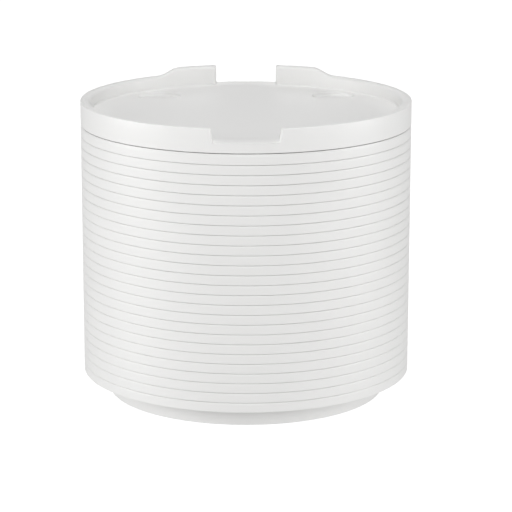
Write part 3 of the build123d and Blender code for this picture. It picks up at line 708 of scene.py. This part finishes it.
# ------------------------------------------------------------------ chips and small parts
# Black epoxy packages soldered to the board, two aluminium capacitors with crimped tops, silicone
# pads that carry heat upwards, and an extruded aluminium heat sink held by four screws.
def epoxy(name, colour):
    """Moulded chip epoxy: near-black, dull, with a fine even sand texture."""
    finish, shader = new_finish(name)
    cloud = grain(finish, per_metre=500, detail=4)
    colour_between(finish, cloud, shaded(colour, share=-0.2), shaded(colour, share=0.3))
    gloss_between(finish, grain(finish, per_metre=300, detail=2), low=0.55, high=0.7)
    relief(finish, grain(finish, per_metre=3500, detail=2), depth=0.008 * MM)
    return finish


def bare_aluminium(name, colour, stretch, gloss):
    """Drawn or extruded aluminium: long streaks one way in gloss and relief."""
    finish, shader = new_finish(name)
    streak = grain(finish, per_metre=500, detail=4, stretch=stretch)
    colour_between(finish, streak, shaded(colour, share=-0.05), shaded(colour, share=0.04))
    gloss_between(finish, streak, low=gloss - 0.07, high=gloss + 0.1)
    relief(finish, streak, depth=0.006 * MM)
    shader.inputs["Metallic"].default_value = 1.0
    return finish


paint(epoxy("chip_plastic", (0.035, 0.035, 0.036)), "processor", "memory_chips", "magnetics", "power_coil")
paint(bare_aluminium("can_aluminium", (0.75, 0.75, 0.76), stretch=(1, 1, 8), gloss=0.3), "capacitors")
paint(bare_aluminium("sink_aluminium", (0.72, 0.73, 0.74), stretch=(8, 1, 8), gloss=0.36), "heat_sink")
paint(rubber("pad_silicone", (0.42, 0.48, 0.58)), "thermal_pads")


# ------------------------------------------------------------------ antenna drum and leads
# A dark ABS drum, open at both ends and pierced by windows, stands on the screw columns and carries
# the four antennas. A thin coaxial lead with a grey jacket runs from each down to the board.
paint(moulded("drum_plastic", (0.17, 0.17, 0.18), gloss=0.6, mottle=0.05), "antenna_drum")


def coax_jacket(name, colour):
    """Extruded jacket: satin, with faint draw lines along it and a little wax bloom."""
    finish, shader = new_finish(name)
    bloom = grain(finish, per_metre=400, detail=3)
    colour_between(finish, bloom, shaded(colour, share=-0.08), shaded(colour, share=0.08))
    gloss_between(finish, bloom, low=0.38, high=0.5)
    relief(finish, grain(finish, per_metre=2500, detail=2, stretch=(1, 1, 0.1)), depth=0.004 * MM)
    return finish


paint(coax_jacket("lead_jacket", (0.30, 0.30, 0.31)),
      "antenna_lead_1", "antenna_lead_2", "antenna_lead_3", "antenna_lead_4")


# ------------------------------------------------------------------ crowned cover
# One white ABS moulding: a flat tray floor with four round recesses and a collar round it, cut
# through by a notch at the front and a gap at the back, with a tab on each side of the gap. A lip
# below the seam seats it in the housing's mouth.
cover_high = np.array(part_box("top_cover")[1]) / MM
crown_radius = cover_high[0]
crown_wall = 3.1
tray_radius = crown_radius - crown_wall
seam_z = sleeve_high[2]
rim_height = 7.1
floor_height = 3.15
slab_thickness = 2.2
skirt_drop = 0.06
rim_z = seam_z + rim_height
floor_z = seam_z + floor_height
slab_z = floor_z - slab_thickness
skirt_z = seam_z - skirt_drop
tab_rise = cover_high[2] - rim_z
tab_level_end = 23.2
tab_foot_end = 27.4
tab_softness = 0.6
lip_gap = 0.15
lip_radius = inner_radius - lip_gap
lip_thickness = 1.8
lip_height = 1.6
slit_depth = 0.55
slit_edge = 0.04
slit_guard = 0.16
notch_half = 9.95
notch_round = 0.6
notch_lean = 0.3
notch_lean_reach = 2.0
gap_half = 9.8
gap_round = 1.2
end_steps = 7
open_steps = 6
wall_steps = 92
straighten = 0.12
outer_round = 0.25
inner_width = 1.4
inner_drop = 0.9
notch_dip = 0.25
gap_sill = 0.55
end_drop = 0.5
floor_edge = 0.1
floor_guard = 0.3
crease_low = 0.44
crease_gap = 0.2
crease_slope = 0.06
crease_depth = 0.14
dock_inset = 8.55
dock_place = tray_radius - dock_inset
dock_radius = 6.5
dock_depth = 1.2
dock_lip = 0.7
dock_fillet = 0.5
dock_spread = 12.8
dock_steps = np.array([7.7, 6.0, 4.0, 2.0, 0.2, -1.6, -3.6, -5.6, -7.3])
centre_steps = np.array([26.0, 18.0, 9.0, 0.0])
dock_corners = (45, 135, 225, 315)


def softened(value):
    """Zero below zero and the value above it, with the corner between them rounded off."""
    return 0.5 * (value + np.sqrt(value**2 + tab_softness**2))


def tab_height(x, y):
    """Height of the collar above the plain rim: at the back, a level top that slopes down to nothing
    between two distances from the middle."""
    rate = tab_rise / (tab_foot_end - tab_level_end)
    slope = rate * (softened(tab_foot_end - np.abs(x)) - softened(tab_level_end - np.abs(x)))
    return np.where(y > 0, slope, 0.0)


def wall_end(half, rounding):
    """One end of the wall in plan, from its flat end plane on: x of each station, and how far the
    wall's faces stand back there, which together make a quarter circle at each upright edge."""
    turn = quarter_turn(end_steps - 1)
    return half + rounding * (1 - np.cos(turn)), rounding * (1 - np.sin(turn))


def half_stations():
    """Stations along the right half of the collar, from the middle of the notch to the middle of the
    gap: outer and inner angle, whether the wall stands, the inset of its faces, and the end's size."""
    notch_x, notch_inset = wall_end(notch_half, notch_round)
    gap_x, gap_inset = wall_end(gap_half, gap_round)
    open_notch, open_gap = np.linspace(0, notch_half, open_steps), np.linspace(gap_half, 0, open_steps)
    front_x = np.concatenate([open_notch, notch_x])
    rear_x = np.concatenate([gap_x[::-1], open_gap])
    front = -np.arccos(front_x / crown_radius), -np.arccos(front_x / tray_radius)
    rear = np.arccos(rear_x / crown_radius), np.arccos(rear_x / tray_radius)
    step = np.linspace(0, 1, wall_steps)[1:-1]
    outer = front[0][-1] + (rear[0][0] - front[0][-1]) * step
    fade = np.clip(np.minimum(step, 1 - step) / straighten, 0, 1)
    inner = (front[1][-1] + (rear[1][0] - front[1][-1]) * step) * (1 - fade) + outer * fade
    flat, wall_run = np.zeros(open_steps), np.zeros(len(step))
    stands = np.concatenate([flat, np.ones(2 * end_steps + len(step)), flat])
    insets = np.concatenate([flat + notch_round, notch_inset, wall_run, gap_inset[::-1], flat + gap_round])
    ends = np.where(np.arange(len(insets)) < len(insets) // 2, notch_round, gap_round)
    return (np.concatenate([front[0], outer, rear[0]]), np.concatenate([front[1], inner, rear[1]]),
            stands, insets, ends)


def trim_openings(ring):
    """Leans the notch's sides and tips the floor in both openings. Points above the floor turn about
    the axis, out at the top and in at the floor, and the turn fades as e to the minus square of the
    distance from the sides. In an opening the floor dips or rises evenly from the tray's edge out."""
    x, y, z = ring[..., 0], ring[..., 1], ring[..., 2]
    up = np.where(z > floor_z - floor_edge, 2 * np.clip((z - floor_z) / (rim_z - floor_z), 0, 1) - 1, 0)
    near = np.exp(-((np.abs(x) - notch_half) / notch_lean_reach) ** 2)
    turn = np.where(y < 0, np.sign(x) * notch_lean * up * near / np.abs(y).clip(tray_radius / 2), 0)
    on_floor = np.abs(z - floor_z) < 2 * floor_edge
    within = np.clip((gap_half + gap_round - np.abs(x)) / gap_round, 0, 1) * on_floor
    out = np.clip((np.hypot(x, y) - tray_radius) / crown_wall, 0, 1)
    trimmed = ring.copy()
    trimmed[..., 0] = x * np.cos(turn) - y * np.sin(turn)
    trimmed[..., 1] = x * np.sin(turn) + y * np.cos(turn)
    trimmed[..., 2] = z + within * out * np.where(y > 0, gap_sill, -notch_dip)
    return trimmed


def cover_sections():
    """The cover as a grid of cross-sections. Each goes from the seam's slit up the outside, over the
    collar where it stands, and down to the tray floor, past a fine crease and a small fillet."""
    outer, inner, stands, insets, ends = half_stations()
    outer = np.concatenate([outer, np.pi - outer[-2:0:-1]])
    inner = np.concatenate([inner, np.pi - inner[-2:0:-1]])
    stands, insets, ends = [np.concatenate([v, v[-2:0:-1]]) for v in (stands, insets, ends)]
    start = crown_radius * np.stack([np.cos(outer), np.sin(outer)], axis=-1)
    finish = tray_radius * np.stack([np.cos(inner), np.sin(inner)], axis=-1)
    length = np.linalg.norm(finish - start, axis=1)
    along = (finish - start) / length[:, None]

    def at(distance, z):
        """Points this far in along each section's line, at these heights."""
        plan = start + along * np.broadcast_to(distance, len(outer))[:, None]
        return np.concatenate([plan, np.broadcast_to(z, len(outer))[:, None]], axis=1)

    def top(distance):
        """The collar's top edge to edge: rim and tabs, less a drop that grows with the square of
        the inset at a rounded end. Where no wall stands it is the tray floor."""
        plan = at(distance, 0)
        level = rim_z + tab_height(plan[:, 0], plan[:, 1]) - end_drop * (insets / ends) ** 2
        return np.where(stands > 0, level, floor_z)

    near = insets
    far = length - near
    share = np.where(stands > 0, (far - near) / length, 0)
    edge = np.where(stands > 0, np.minimum(insets, floor_edge), floor_edge)
    rings = [
        at(slit_depth, skirt_z),
        at(slit_edge, skirt_z),
        at(0.0, skirt_z + slit_edge),
        at(0.0, skirt_z + slit_guard),
        at(0.0, floor_z - floor_guard),
        at(0.0, floor_z - edge),
        at(edge, floor_z),
        at(np.maximum(near, edge), floor_z),
    ]
    for turn in quarter_turn(steps=3):
        reach = outer_round * share * (1 - np.cos(turn))
        rings.append(at(near + reach, top(near + reach) - outer_round * share * (1 - np.sin(turn))))
    for turn in quarter_turn(steps=6):
        reach = inner_width * share * (1 - np.sin(turn))
        rings.append(at(far - reach, top(far - reach) - inner_drop * share * (1 - np.cos(turn))))
    up, back = np.where(stands > 0, 1, 0), crease_depth * share
    rings += [
        at(far, floor_z + up * (crease_low + crease_gap)),
        at(far - back, floor_z + up * (crease_low + crease_gap - crease_slope)),
        at(far - back, floor_z + up * (crease_low + crease_slope)),
        at(far, floor_z + up * crease_low),
    ]
    for turn in quarter_turn(steps=4)[1:]:
        reach = crease_low * (1 - np.cos(turn))
        rings.append(at(far + reach, floor_z + up * crease_low * (1 - np.sin(turn))))
    return trim_openings(np.stack(rings)), finish, outer


def closed(grid):
    """A grid with its first column of points put again at the end, to close it round."""
    return np.concatenate([grid, grid[:, :1]], axis=1)


def dock_cup(edge, corner):
    """One round recess from the edge of its square patch of floor inwards: a quarter-ellipse lip, an
    upright wall, a quarter-circle fillet at its foot, and a flat bottom."""
    centre = dock_place * np.array([math.cos(math.radians(corner)), math.sin(math.radians(corner))])
    turn = np.unwrap(np.arctan2(edge[:, 1] - centre[1], edge[:, 0] - centre[0]))
    bend = quarter_turn(steps=4)
    sine, drop = 1 - np.sin(bend), dock_fillet * (1 - np.cos(bend))
    lip = np.stack([dock_lip * sine, -drop], axis=-1)
    foot = np.stack([-drop, dock_fillet * sine - dock_depth], axis=-1)
    bottom = [(-dock_radius / 2, -dock_depth), (-dock_radius, -dock_depth)]
    cup = [edge]
    for reach, z in np.vstack([lip, foot, bottom]):
        circle = centre + (dock_radius + reach) * np.stack([np.cos(turn), np.sin(turn)], axis=-1)
        cup.append(np.concatenate([circle, np.full((len(turn), 1), floor_z + z)], axis=1))
    return np.stack(cup)


def build_cover():
    """The grid of sections, the tray floor with its four round recesses, and the plain underside."""
    rings, finish, outer = cover_sections()
    patches = [(closed(rings), None)]
    direction = finish / tray_radius
    floor_rings = [rings[-1]]
    for radius in np.concatenate([dock_place + dock_steps, centre_steps]):
        flat = direction * radius
        floor_rings.append(np.concatenate([flat, np.full((len(flat), 1), floor_z)], axis=1))
    tray = closed(np.stack(floor_rings))
    skip = np.zeros((len(tray) - 1, tray.shape[1] - 1), bool)
    azimuth = np.degrees(np.arctan2(finish[:, 1], finish[:, 0])) % 360
    for corner in dock_corners:
        near = np.flatnonzero(np.abs((azimuth - corner + 180) % 360 - 180) < dock_spread)
        first, last = near.min(), near.max()
        skip[1 : len(dock_steps), first:last] = True
        block = tray[1 : len(dock_steps) + 1, first : last + 1]
        edge = np.concatenate([block[0], block[1:, -1], block[-1, -2::-1], block[-2:0:-1, 0], block[0, :1]])
        patches.append((dock_cup(edge, corner), None))
    patches.append((tray, skip))
    lip_inside = lip_radius - lip_thickness
    under = [(crown_radius - slit_depth, seam_z), (lip_radius, seam_z), (lip_radius, seam_z - lip_height),
             (lip_inside, seam_z - lip_height), (lip_inside, slab_z), (0, slab_z)]
    round_again = np.append(outer, outer[0] + 2 * np.pi)
    circle = np.stack([np.cos(round_again), np.sin(round_again), np.zeros(len(round_again))], axis=-1)
    flats = [radius * circle + np.array([0, 0, z]) for radius, z in under]
    patches.append((np.stack([closed(rings)[0]] + flats), None))
    return joined(patches)


crowned_cover = add_mesh("crowned_cover", *build_cover())
stand_in(crowned_cover, "top_cover", white_shell)
